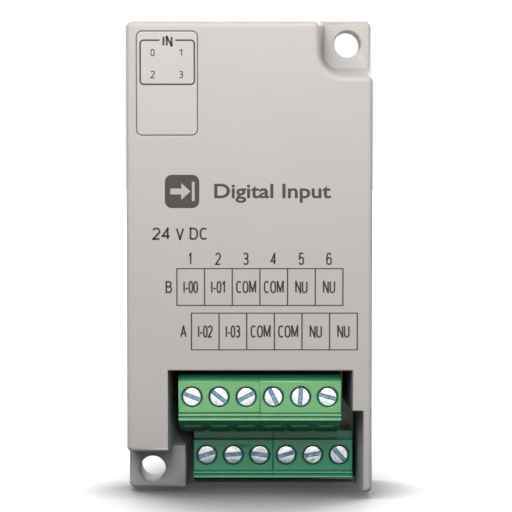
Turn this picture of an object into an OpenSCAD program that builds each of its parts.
// Plug-in input module for a small programmable controller.
// A light grey shell holds a circuit board, a double-level row of screw
// terminals and a rear plug connector. All sizes are in millimetres.
//
// Frame: X to the right and Z up as seen from the front, Y to the rear.
// The plane Y = 0 is the seat of the two mounting ears, and the origin is
// midway between their screw holes. Depths in this file (d) are measured
// rearwards from the front face, so Y = d - seat_depth.

/* [Shell] */
// Width of the shell
body_w = 31.5; // [31.4:0.1:31.8]
// Height of the flat front face
face_h = 60.35; // [60.2:0.05:60.5]
// Height over the drafted end walls at the rear rim
rim_h = 62.0; // [61.8:0.1:62.2]
// Height of the front face's top edge above the origin
face_top = 30.45; // [30.4:0.05:30.5]
// Depth from the front face to the seat of the mounting ears
seat_depth = 13.0; // [12.9:0.1:13.1]
// Depth from the front face to the rear rim
rim_depth = 17.4; // [17.3:0.1:17.5]
// Thickness of the front and end walls
wall = 1.2; // [1.0:0.1:1.3]
// Outer corner radius of the shell
corner_r = 0.75; // [0.7:0.05:0.9]
// Rounding of the front face's outer edges
face_round = 0.6; // [0.4:0.05:0.65]

/* [Mounting ears] */
// Depth from the front face to the front of the ears
ear_depth = 6.5; // [6:0.1:7]
// Sideways distance between the two screw holes
hole_dx = 25.4; // [25.2:0.1:25.5]
// Upright distance between the two screw holes
hole_dz = 55.5; // [55.3:0.1:55.7]
// Radius of the screw holes, a clearance hole for a 3 mm screw
hole_r = 1.7; // [1.6:0.05:1.8]
// Rounding of the ears' outer edges
ear_round = 0.5; // [0.3:0.05:0.65]

/* [Terminals] */
// Distance between neighbouring poles
pitch = 3.5; // [3.5]
// Poles on each level of one terminal block
poles = 3; // [3]
// X of the first upper screw
first_pole_x = -7.42; // [-7.45:0.01:-7.40]
// Sideways shift of the lower level
level_shift = 1.75; // [1.75]
// Z of the upper screws
upper_z = -17.7; // [-17.75:0.05:-17.65]
// Drop from the upper screws to the lower screws
level_drop = 8.5; // [8.45:0.05:8.55]
// Depth of the upper screw face behind the front face
upper_depth = 1.2; // [1.1:0.1:1.3]
// Depth of the lower screw face behind the front face
lower_depth = 8.5; // [8.5]

/* [Clamp screws] */
// Radius of a screw head
head_r = 1.2; // [1.15:0.05:1.25]
// Thickness of a screw head
head_h = 0.7; // [0.6:0.05:0.7]
// Width of the driver slot
slot_w = 0.55; // [0.5:0.05:0.6]
// Radius of the screw shank
shank_r = 0.98; // [0.96:0.01:0.99]
// Rise of a wire cage from open to closed
cage_travel = 1.1; // [1.0:0.05:1.1]

/* [Circuit board] */
// Depth of the board's front side behind the front face
board_depth = 15.8; // [15.8]
// Thickness of the board
board_t = 1.2; // [1.0:0.1:1.2]

/* [Plug connector] */
// Contacts in one row of the rear plug connector
plug_columns = 10; // [6:1:11]
// Distance between neighbouring plug contacts
plug_pitch = 2.0; // [2.0]
// Height of the plug connector's centre above the origin
plug_z = 8.0; // [4:0.5:12]
// Overall depth from the front face to the end of the plug
overall_depth = 20.0; // [19.8:0.1:20.2]

/* [Hidden] */
$fn = 64;
eps = 0.01;
far = 40;

face_bottom = face_top - face_h;
half_w = body_w / 2;
top_draft = 0.71;
rim_top = face_top + top_draft;
rim_bottom = rim_top - rim_h;

// corner cut-outs above the ears: [X, Z] of the inner corner at the face and at the ear
notch_face = [8.89, 23.43];
notch_ear = [9.72, 24.67];
notch_face_r = 3.0;
notch_ear_r = 1.75;
block_corner_r = 0.7;
block_overlap = 0.7;
round_steps = 5;
left_face_bottom = -24.67;
ear_side_x = -8.17;
ear_side_draft = 0.3;

// terminal opening in the front face
opening_top = -14.18;
opening_step = -19.37;
opening_left = -10.48;
opening_right = 13.19;
opening_right_low = 14.63;
left_slope = 0.075;
right_slope = -0.045;

// inside of the shell
inner_x = half_w - 1.55;
recess_x = half_w - 1.0;
inner_top = face_top - wall + 0.05;
inner_bottom = opening_top + 1.05;
column_right = -11.5;
column_bottom = left_face_bottom + 1.0;
well_split = 12.0;
well_low_left = -7.5;
floor_depth = 13.7;
floor_top = -29.85;
notch_wall_x = notch_face[0] - 1.2;
notch_wall_z = notch_face[1] - 1.1;
recess_notch_x = notch_ear[0] - 1.0;
recess_notch_z = notch_ear[1] - 1.0;
recess_top = rim_top - 1.15;
board_gap = 0.1;
board_back = board_depth + board_t;

// status window
window_x = [-14.43, -6.58];
window_z = [15.95, 29.25];
window_r = 0.75;
window_t = 0.7;
window_gap = 0.07;
window_ledge = 0.6;
led_x = [-12.32, -8.72];
led_z = [23.71, 26.5];

// terminal block profile, as offsets from a level's screw face and screw axis
face_half = 2.0;
top_chamfer = 0.95;
rib_end = 3.1;
level_gap_depth = 10.5;
level_gap = 1.0;
head_hole_r = 1.35;
hole_rim = 0.13;
head_recess = 0.2;
shoulder_at = 0.95;
shoulder_t = 0.2;
shoulder_r = 1.07;
cage_half_x = 1.35;
cage_half_z = 1.6;
cage_bore_r = 1.02;
cage_wall = 0.33;
cage_front = shoulder_at + shoulder_t + cage_travel + 0.05;
cage_plate = 0.7;
bar_at = 3.05;
bar_t = 0.45;
wire_at = 3.5;
wire_space = 1.7;
cage_foot = 0.45;
pin_z = [1.85, 2.35];
pin_end = board_back + 1.0;

upper_angles = [-20, -38, 27, -65, 86, -15];
lower_angles = [18, 3, -8, 17, 10, -47];
first_name = ["screw_b", "screw_a", "wire_cage_b", "wire_cage_a"];
pole_numbers = [1 : 2 * poles];

// parts that repeat once for each input
channels = [0 : 3];
channel_pitch = 6.5;
function channel_x(i) = (i - 1.5) * channel_pitch;

// ---- placing helpers ----

// a box between two X, two depths and two Z
module block(x, d, z)
    translate([x[0], d[0] - seat_depth, z[0]])
        cube([x[1] - x[0], d[1] - d[0], z[1] - z[0]]);

// an outline in X and Z, extruded from depth d[0] to d[1]
module slab(d)
    translate([0, d[1] - seat_depth, 0])
        rotate([90, 0, 0]) linear_extrude(d[1] - d[0]) children();

// an outline in depth and Z, extruded across X
module side_profile(x)
    translate([x[0], -seat_depth, 0])
        rotate([90, 0, 90]) linear_extrude(x[1] - x[0]) children();

// an outline in X and depth, extruded upwards
module plan_profile(z)
    translate([0, -seat_depth, z[0]]) linear_extrude(z[1] - z[0]) children();

// a round bar along Y
module bar(x, z, d, r)
    translate([x, d[0] - seat_depth, z])
        rotate([-90, 0, 0]) cylinder(r = r, h = d[1] - d[0]);

// a cone along Y, with its radius at each end
module taper(x, z, d, r)
    translate([x, d[0] - seat_depth, z])
        rotate([-90, 0, 0]) cylinder(h = d[1] - d[0], r1 = r[0], r2 = r[1]);

// a rectangle with round corners, from its two X and two Z
module rounded(x, z, r) {
    translate([x[0] + r, z[0]]) square([x[1] - x[0] - 2 * r, z[1] - z[0]]);
    translate([x[0], z[0] + r]) square([x[1] - x[0], z[1] - z[0] - 2 * r]);
    for (cx = [x[0] + r, x[1] - r]) for (cz = [z[0] + r, z[1] - r])
        translate([cx, cz]) circle(r = r);
}

// X of the wells' drafted side walls at depth d
function well_left(d) = opening_left + left_slope * d;
function well_right(d) = opening_right + right_slope * d;
function well_right_low(d) = opening_right_low + right_slope * d;
function ear_side(d) = ear_side_x - ear_side_draft * (seat_depth - d) / (seat_depth - ear_depth);

// X and screw data of a pole, counted from 0
function pole_x(level, i) = first_pole_x + i * pitch + (level == 0 ? 0 : level_shift);
function level_z(level) = upper_z - (level == 0 ? 0 : level_drop);
function level_d(level) = level == 0 ? upper_depth : lower_depth;

// ---- front housing ----

// Z of the drafted end walls at depth d, and a value that changes from face to ear
function top_at(d) = face_top + top_draft * d / rim_depth;
function bottom_at(d) = face_bottom + (rim_bottom - face_bottom) * d / rim_depth;
function to_ear(pair, d) = pair[0] + (pair[1] - pair[0]) * d / ear_depth;

// An outline is a list of corners in clockwise order. A corner is [X, Z, radius, angle
// where its arc starts, turn], and turn is -90 at an outer corner and 90 at an inner one.
function front_corners(d) =
    let (x = to_ear([notch_face[0], notch_ear[0]], d), z = to_ear([notch_face[1], notch_ear[1]], d))
    [
        [-half_w, top_at(d), corner_r, 180, -90],
        [x, top_at(d), block_corner_r, 90, -90],
        [x, z, to_ear([notch_face_r, notch_ear_r], d), 180, 90],
        [half_w, z, block_corner_r, 90, -90],
        [half_w, bottom_at(d), corner_r, 0, -90],
        [0, bottom_at(d), corner_r, -90, -90],
        [0, left_face_bottom, block_corner_r, 0, 90],
        [-half_w, left_face_bottom, block_corner_r, -90, -90]
    ];
function rear_corners(d) = [
    [-half_w, top_at(d), corner_r, 180, -90], [half_w, top_at(d), corner_r, 90, -90],
    [half_w, bottom_at(d), corner_r, 0, -90], [-half_w, bottom_at(d), corner_r, -90, -90]
];

// the points of one outline at depth d, shrunk inwards by inset
function ring(corners, d, inset) = [
    for (c = corners)
        let (steps = c[2] > 1 ? 10 : 5, start = c[3], end = c[3] + c[4],
             x = c[0] - c[2] * (cos(start) + cos(end)), z = c[1] - c[2] * (sin(start) + sin(end)),
             r = c[2] + inset * sign(c[4]))
        for (k = [0 : steps])
            let (angle = start + (end - start) * k / steps)
            [x + r * cos(angle), d - seat_depth, z + r * sin(angle)]
];

// a closed skin over rings of equally many points, from front to rear
module skin(rings) {
    n = len(rings[0]);
    last = (len(rings) - 1) * n;
    polyhedron(
        points = [for (r = rings) for (p = r) p],
        faces = concat(
            [[for (i = [0 : n - 1]) i]],
            [for (k = [0 : n : last - n]) for (i = [0 : n - 1]) let (j = (i + 1) % n)
                for (face = [[k + i, k + n + i, k + n + j], [k + i, k + n + j, k + j]]) face],
            [[for (i = [n - 1 : -1 : 0]) last + i]]
        ),
        convexity = 6
    );
}

// depth and inset at each step of an edge rounded by r; the first step is a little in
// front of the flat face, which is cut from it
function rounding(r) =
    let (curve = [for (k = [0 : round_steps]) let (a = 90 * k / round_steps)
                  [r * (1 - cos(a)), r * (1 - sin(a))]])
    [for (k = [0 : round_steps]) k > 0 ? curve[k] : curve[0] - (curve[1] - curve[0]) * 0.35];

// the shell's drafted outside: the front block stands on a rear block, which forms the ears
module shell_outside() {
    difference() {
        skin(concat(
            [for (s = rounding(face_round)) ring(front_corners(s[0]), s[0], s[1])],
            [for (d = [ear_depth, ear_depth + block_overlap]) ring(front_corners(d), d, 0)]
        ));
        block([-far, far], [-1, 0], [-far, far]);
    }
    intersection() {
        skin(concat(
            [for (s = rounding(ear_round))
                let (d = ear_depth + s[0]) ring(rear_corners(d), d, s[1])],
            [ring(rear_corners(rim_depth + 1), rim_depth + 1, 0)]
        ));
        block([-far, far], [ear_depth, rim_depth], [-far, far]);
    }
}

// the cut-outs behind the two ears
module rear_notches() {
    slab([seat_depth, far]) rounded([notch_ear[0], far], [notch_ear[1], far], notch_ear_r);
    slab([seat_depth, far]) rounded([-far, ear_side_x], [-far, left_face_bottom], 1.0);
}

// a well between two drafted side walls
module well(d, z, low)
    plan_profile(z) polygon([
        [well_left(d[0]), d[0]],
        [low ? well_right_low(d[0]) : well_right(d[0]), d[0]],
        [low ? well_right_low(d[1]) : well_right(d[1]), d[1]],
        [well_left(d[1]), d[1]]
    ]);

// the space that the terminal blocks stand in, open to the front and below
module terminal_well() {
    well([-1, board_depth + eps], [opening_step - eps, opening_top], false);
    well([-1, well_split], [left_face_bottom, opening_step], true);
    well([well_split - eps, board_depth + eps], [column_bottom, opening_step], true);
    plan_profile([-far, left_face_bottom + eps]) polygon([
        [ear_side(0), -1], [well_right_low(-1), -1],
        [well_right_low(well_split), well_split], [ear_side(well_split), well_split]
    ]);
    plan_profile([-far, column_bottom + eps]) polygon([
        [well_low_left, well_split - eps], [well_right_low(well_split), well_split - eps],
        [well_right_low(floor_depth), floor_depth], [well_low_left, floor_depth]
    ]);
    plan_profile([floor_top, column_bottom + eps]) polygon([
        [well_low_left, floor_depth - eps], [well_right_low(floor_depth), floor_depth - eps],
        [well_right_low(board_depth), board_depth + eps], [well_low_left, board_depth + eps]
    ]);
}

// the outline of the electronics space: above the terminals, and a column beside them
module electronics_outline() {
    rounded([-inner_x, inner_x], [inner_bottom, notch_wall_z], 0.8);
    rounded([-inner_x, notch_wall_x], [inner_bottom, inner_top], 0.8);
    rounded([-inner_x, column_right], [column_bottom, inner_bottom + 3], 0.8);
}

// the outline of the board's recess at the rear, shrunk by gap
module board_outline(gap) {
    x = recess_x - gap;
    rounded([-x, x], [column_bottom + gap, recess_notch_z - gap], 0.6);
    rounded([-x, recess_notch_x - gap], [column_bottom + gap, recess_top - gap], 0.6);
    rounded([well_low_left + gap, x], [floor_top + gap, recess_notch_z - gap], 0.6);
}

// the stepped pocket that the status window drops into
module window_pocket() {
    slab([-1, window_t]) rounded(window_x, window_z, window_r);
    slab([-1, wall + 1])
        rounded([window_x[0] + window_ledge, window_x[1] - window_ledge],
                [window_z[0] + window_ledge, window_z[1] - window_ledge], window_r / 2);
}

// a hook that the board snaps behind, on the wall at x, reaching towards the middle
module board_hook(x, z)
    let (side = x > 0 ? 1 : -1, reach = 0.4, len = 3)
    translate([0, 0, z - len / 2]) plan_profile([0, len]) polygon([
        [x + side * 0.3, board_back + 0.03], [x - side * reach, board_back + 0.03],
        [x + side * 0.3, rim_depth]
    ]);

module front_housing() color([0.80, 0.78, 0.76]) {
    difference() {
        shell_outside();
        rear_notches();
        terminal_well();
        window_pocket();
        slab([wall, board_depth + eps]) electronics_outline();
        slab([board_depth, far]) board_outline(0);
        for (side = [-1, 1]) {
            bar(side * hole_dx / 2, side * hole_dz / 2, [ear_depth - 1, seat_depth + 1], hole_r);
            translate([side * hole_dx / 2, ear_depth - seat_depth, side * hole_dz / 2])
                rotate([-90, 0, 0]) translate([0, 0, -eps])
                    cylinder(r1 = hole_r + 0.2, r2 = hole_r - eps, h = 0.2);
        }
    }
    for (x = [-recess_x, recess_x]) for (z = [-12, 12]) board_hook(x, z);
}

// ---- status window and light guide ----

module status_window() color([0.82, 0.80, 0.78]) {
    g = window_gap;
    slab([0, window_t - 0.02])
        rounded([window_x[0] + g, window_x[1] - g], [window_z[0] + g, window_z[1] - g], window_r - g);
    l = window_ledge + g;
    slab([window_t / 2, wall])
        rounded([window_x[0] + l, window_x[1] - l], [window_z[0] + l, window_z[1] - l], window_r / 3);
}

// a clear plate behind the window with one leg down to each indicator
module light_guide() color([0.85, 0.92, 0.95]) {
    margin = 1.2;
    slab([wall, wall + 0.6])
        rounded([led_x[0] - margin, led_x[1] + margin], [led_z[0] - margin, led_z[1] + margin], 0.5);
    for (x = led_x) for (z = led_z) bar(x, z, [wall + 0.3, board_depth - 0.9], 0.8);
}

// ---- circuit board ----

module circuit_board() color([0.10, 0.42, 0.24])
    difference() {
        slab([board_depth, board_back]) board_outline(board_gap);
        for (level = [0, 1]) for (i = [0 : 2 * poles - 1])
            bar(pole_x(level, i), level_z(level) + (pin_z[0] + pin_z[1]) / 2,
                [board_depth - 1, board_back + 1], 0.55);
        for (i = [0 : plug_columns - 1]) for (row = [-1, 1])
            bar((i - (plug_columns - 1) / 2) * plug_pitch, plug_z + row * plug_pitch / 2,
                [board_depth - 1, board_back + 1], 0.45);
    }

// ---- rear plug connector ----

module plug_connector_body() color([0.12, 0.12, 0.13]) {
    half_x = plug_columns * plug_pitch / 2 + 0.4;
    half_z = plug_pitch + 0.35;
    contact_half = 0.4;
    difference() {
        block([-half_x, half_x], [board_back, overall_depth], [plug_z - half_z, plug_z + half_z]);
        for (i = [0 : plug_columns - 1]) for (row = [-1, 1])
            let (x = (i - (plug_columns - 1) / 2) * plug_pitch, z = plug_z + row * plug_pitch / 2)
            block([x - contact_half, x + contact_half], [board_back - 1, overall_depth + 1],
                  [z - contact_half, z + contact_half]);
        // a key slot at one end keeps the module the right way up
        block([half_x - 0.7, half_x + 1], [board_back + 1, overall_depth + 1],
              [plug_z - 0.6, plug_z + 0.6]);
    }
}

// two spring leaves on a tail that is soldered through the board
module plug_contact(x, z) {
    for (side = [-1, 1])
        block([x - 0.3, x + 0.3], [board_back + 0.4, overall_depth - 0.4],
              [z + side * 0.29 - 0.08, z + side * 0.29 + 0.08]);
    block([x - 0.3, x + 0.3], [board_back + 0.1, board_back + 0.5], [z - 0.37, z + 0.37]);
    block([x - 0.2, x + 0.2], [board_depth - 0.9, board_back + 0.2], [z - 0.2, z + 0.2]);
}

module plug_contacts() color([0.85, 0.68, 0.30])
    for (i = [0 : plug_columns - 1]) for (row = [-1, 1])
        plug_contact((i - (plug_columns - 1) / 2) * plug_pitch, plug_z + row * plug_pitch / 2);

// ---- terminal blocks ----

// the front of one level: its flat screw face and the two ribs below it
function level_front(d, z) = [
    [d, z + face_half], [d, z - face_half], [d + 0.25, z - face_half - 0.05],
    [d + 0.25, z - face_half - 0.2], [d + 0.08, z - face_half - 0.28],
    [d + 0.08, z - face_half - 0.5], [d + 0.35, z - face_half - 0.58],
    [d + 0.35, z - face_half - 0.75], [d + 0.15, z - face_half - 0.85],
    [d + 0.15, z - rib_end], [d + 0.7, z - rib_end - 0.08]
];

// outline of the upper level in depth and Z
module upper_outline() {
    top = level_z(0) + face_half + top_chamfer - 0.07;
    lip_z = level_z(1) + face_half + level_gap + 0.05;
    polygon(concat(
        [[upper_depth + top_chamfer, top]],
        level_front(upper_depth, level_z(0)),
        [[level_gap_depth - 1.3, lip_z], [board_depth, lip_z], [board_depth, top]]
    ));
}

// outline of the lower level in depth and Z
module lower_outline() {
    top = level_z(1) + face_half;
    foot = floor_top + 0.1;
    polygon(concat(
        level_front(lower_depth, level_z(1)),
        [[lower_depth + 2.2, foot], [board_depth, foot], [board_depth, top + level_gap],
         [level_gap_depth, top + level_gap], [level_gap_depth, top]]
    ));
}

// the hollows of one pole: screw hole, cage space, wire entry and pin channel
module pole_hollows(x, d, z) {
    bar(x, z, [d - 1, d + shoulder_at], head_hole_r);
    taper(x, z, [d - eps, d + hole_rim], [head_hole_r + hole_rim + eps, head_hole_r]);
    bar(x, z, [d, d + shoulder_at + shoulder_t + eps], shoulder_r);
    block([x - cage_half_x - 0.1, x + cage_half_x + 0.1],
          [d + shoulder_at + shoulder_t, d + wire_at + wire_space + cage_foot + 0.1],
          [z - cage_half_z - 0.12, z + cage_half_z + 0.12]);
    block([x - 1.1, x + 1.1], [d + wire_at - 0.1, d + wire_at + wire_space + 0.1],
          [z - 7, z - cage_half_z]);
    block([x - 1.0, x + 1.0], [d + bar_at - 0.05, d + bar_at + bar_t + 0.05],
          [z, z + pin_z[1] + 0.08]);
    block([x - 0.5, x + 0.5], [d + bar_at - 0.05, board_depth + 1],
          [z + pin_z[0] - 0.08, z + pin_z[1] + 0.08]);
}

// one moulding with three poles on each level; first is its first pole, counted from 0
module terminal_block(first) {
    joint = 0.02;
    reach = poles * pitch / 2 - joint;
    middle = first + (poles - 1) / 2;
    x_up = [pole_x(0, middle) - reach, pole_x(0, middle) + reach];
    x_low = [pole_x(1, middle) - reach, pole_x(1, middle) + reach];
    top = level_z(1) + face_half + level_gap;
    difference() {
        union() {
            side_profile(x_up) upper_outline();
            side_profile(x_low) lower_outline();
            block([x_low[0], x_up[1]], [level_gap_depth, board_depth], [top - 0.4, top + 0.4]);
        }
        for (level = [0, 1]) for (i = [first : first + poles - 1])
            pole_hollows(pole_x(level, i), level_d(level), level_z(level));
        // driver clearance in the upper level's lip, over each lower screw
        for (i = [first : first + poles - 1])
            bar(pole_x(1, i), top + 0.02, [5, level_gap_depth], 0.36);
    }
}

module terminal_block_left() color([0.20, 0.58, 0.30]) terminal_block(0);

module terminal_block_right() color([0.20, 0.58, 0.30]) terminal_block(poles);

// a current bar that the wire is pressed against, and its pin through the board
module contact_bar(x, d, z) {
    block([x - 0.9, x + 0.9], [d + bar_at, d + bar_at + bar_t], [z - cage_half_z + 0.2, z + pin_z[1]]);
    block([x - 0.4, x + 0.4], [d + bar_at, pin_end], [z + pin_z[0], z + pin_z[1]]);
}

module upper_contact_bars() color([0.80, 0.78, 0.70])
    for (i = [0 : 2 * poles - 1]) contact_bar(pole_x(0, i), upper_depth, level_z(0));

module lower_contact_bars() color([0.80, 0.78, 0.70])
    for (i = [0 : 2 * poles - 1]) contact_bar(pole_x(1, i), lower_depth, level_z(1));

// ---- clamp screws and wire cages ----

// a captive screw; angle is how far its slot is turned, anticlockwise from the front
module clamp_screw(level, i, angle) color([0.82, 0.84, 0.86]) {
    x = pole_x(level, i);
    z = level_z(level);
    d = level_d(level) + head_recess;
    edge = 0.12;
    tip = level_d(level) + bar_at - 0.08;
    difference() {
        translate([x, d - seat_depth, z]) rotate([-90, 0, 0]) rotate_extrude()
            polygon([[0, 0], [head_r - edge, 0], [head_r, edge], [head_r, head_h],
                     [shank_r, head_h], [shank_r, tip - d - 0.15], [shank_r - 0.15, tip - d],
                     [0, tip - d]]);
        translate([x, d - seat_depth, z]) rotate([0, -angle, 0])
            translate([-2, -1, -slot_w / 2]) cube([4, 1.38, slot_w]);
    }
}

// a square tube with a threaded front plate that rises towards the screw head
module wire_cage(level, i) color([0.72, 0.72, 0.68]) {
    x = pole_x(level, i);
    z = level_z(level);
    d = level_d(level) + cage_front;
    back = level_d(level) + wire_at + wire_space + cage_foot;
    difference() {
        block([x - cage_half_x, x + cage_half_x], [d, back], [z - cage_half_z, z + cage_half_z]);
        block([x - cage_half_x + cage_wall, x + cage_half_x - cage_wall],
              [d + cage_plate, back - cage_foot], [z - far, z + far]);
        bar(x, z, [d - 1, d + cage_plate + 0.2], cage_bore_r);
    }
}

// ---- parts on the board ----

// a packaged part with a row of leads on two opposite sides, standing on the board's front
module leaded_part(x, z, w, h, t, leads, upright = true) {
    rise = 0.1;
    block([x - w / 2, x + w / 2], [board_depth - t, board_depth - rise], [z - h / 2, z + h / 2]);
    span = (upright ? h : w) - 0.8;
    lead_half = 0.2;
    for (k = [0 : leads - 1]) let (s = leads > 1 ? (k / (leads - 1) - 0.5) * span : 0)
        for (side = [-1, 1])
            if (upright)
                block([min(x + side * (w / 2 - 0.2), x + side * (w / 2 + 0.8)),
                       max(x + side * (w / 2 - 0.2), x + side * (w / 2 + 0.8))],
                      [board_depth - 0.3, board_depth], [z + s - lead_half, z + s + lead_half]);
            else
                block([x + s - lead_half, x + s + lead_half], [board_depth - 0.3, board_depth],
                      [min(z + side * (h / 2 - 0.2), z + side * (h / 2 + 0.8)),
                       max(z + side * (h / 2 - 0.2), z + side * (h / 2 + 0.8))]);
}

module status_leds() color([0.75, 0.90, 0.70])
    for (x = led_x) for (z = led_z) {
        block([x - 0.8, x + 0.8], [board_depth - 0.35, board_depth], [z - 0.4, z + 0.4]);
        block([x - 0.5, x + 0.5], [board_depth - 0.75, board_depth - 0.3], [z - 0.38, z + 0.38]);
    }

module optocouplers() color([0.15, 0.15, 0.16])
    for (i = channels) leaded_part(channel_x(i), -8.5, 4.4, 4.6, 2.2, 2);

module interface_ic() color([0.14, 0.14, 0.15]) leaded_part(-3.5, 19, 6, 7.6, 1.8, 8);

module memory_ic() color([0.14, 0.14, 0.15]) leaded_part(6, 19.5, 3.9, 4.9, 1.6, 4);

module bulk_capacitor() color([0.70, 0.72, 0.74]) {
    x = 10.5;
    z = 14.0;
    block([x - 2.2, x + 2.2], [board_depth - 0.6, board_depth], [z - 2.2, z + 2.2]);
    bar(x, z, [board_depth - 5.8, board_depth - 0.5], 2.0);
}

// a small part without leads, one for each input, on a row at height z
module channel_chip(i, z, t)
    block([channel_x(i) - 1.0, channel_x(i) + 1.0], [board_depth - t, board_depth], [z, z + 1.25]);

module filter_capacitors() color([0.72, 0.60, 0.44])
    for (i = channels) channel_chip(i, -3.4, 1.0);

module input_resistors() color([0.10, 0.10, 0.11])
    for (i = channels) for (row = [0, 1]) channel_chip(i, -0.9 + 2.0 * row, 0.6);

module protection_diodes() color([0.16, 0.16, 0.17])
    for (i = channels) let (z = column_bottom + 0.3 + 3.0 * i)
        block([-14.0, -11.8], [board_depth - 1.6, board_depth], [z, z + 2.4]);

front_housing();
status_window();
light_guide();
circuit_board();
plug_connector_body();
plug_contacts();
terminal_block_left();
terminal_block_right();
upper_contact_bars();
lower_contact_bars();
status_leds();
optocouplers();
interface_ic();
memory_ic();
bulk_capacitor();
filter_capacitors();
input_resistors();
protection_diodes();
for (i = pole_numbers) {
    clamp_screw(0, i - 1, upper_angles[i - 1]);
    clamp_screw(1, i - 1, lower_angles[i - 1]);
    wire_cage(0, i - 1);
    wire_cage(1, i - 1);
}
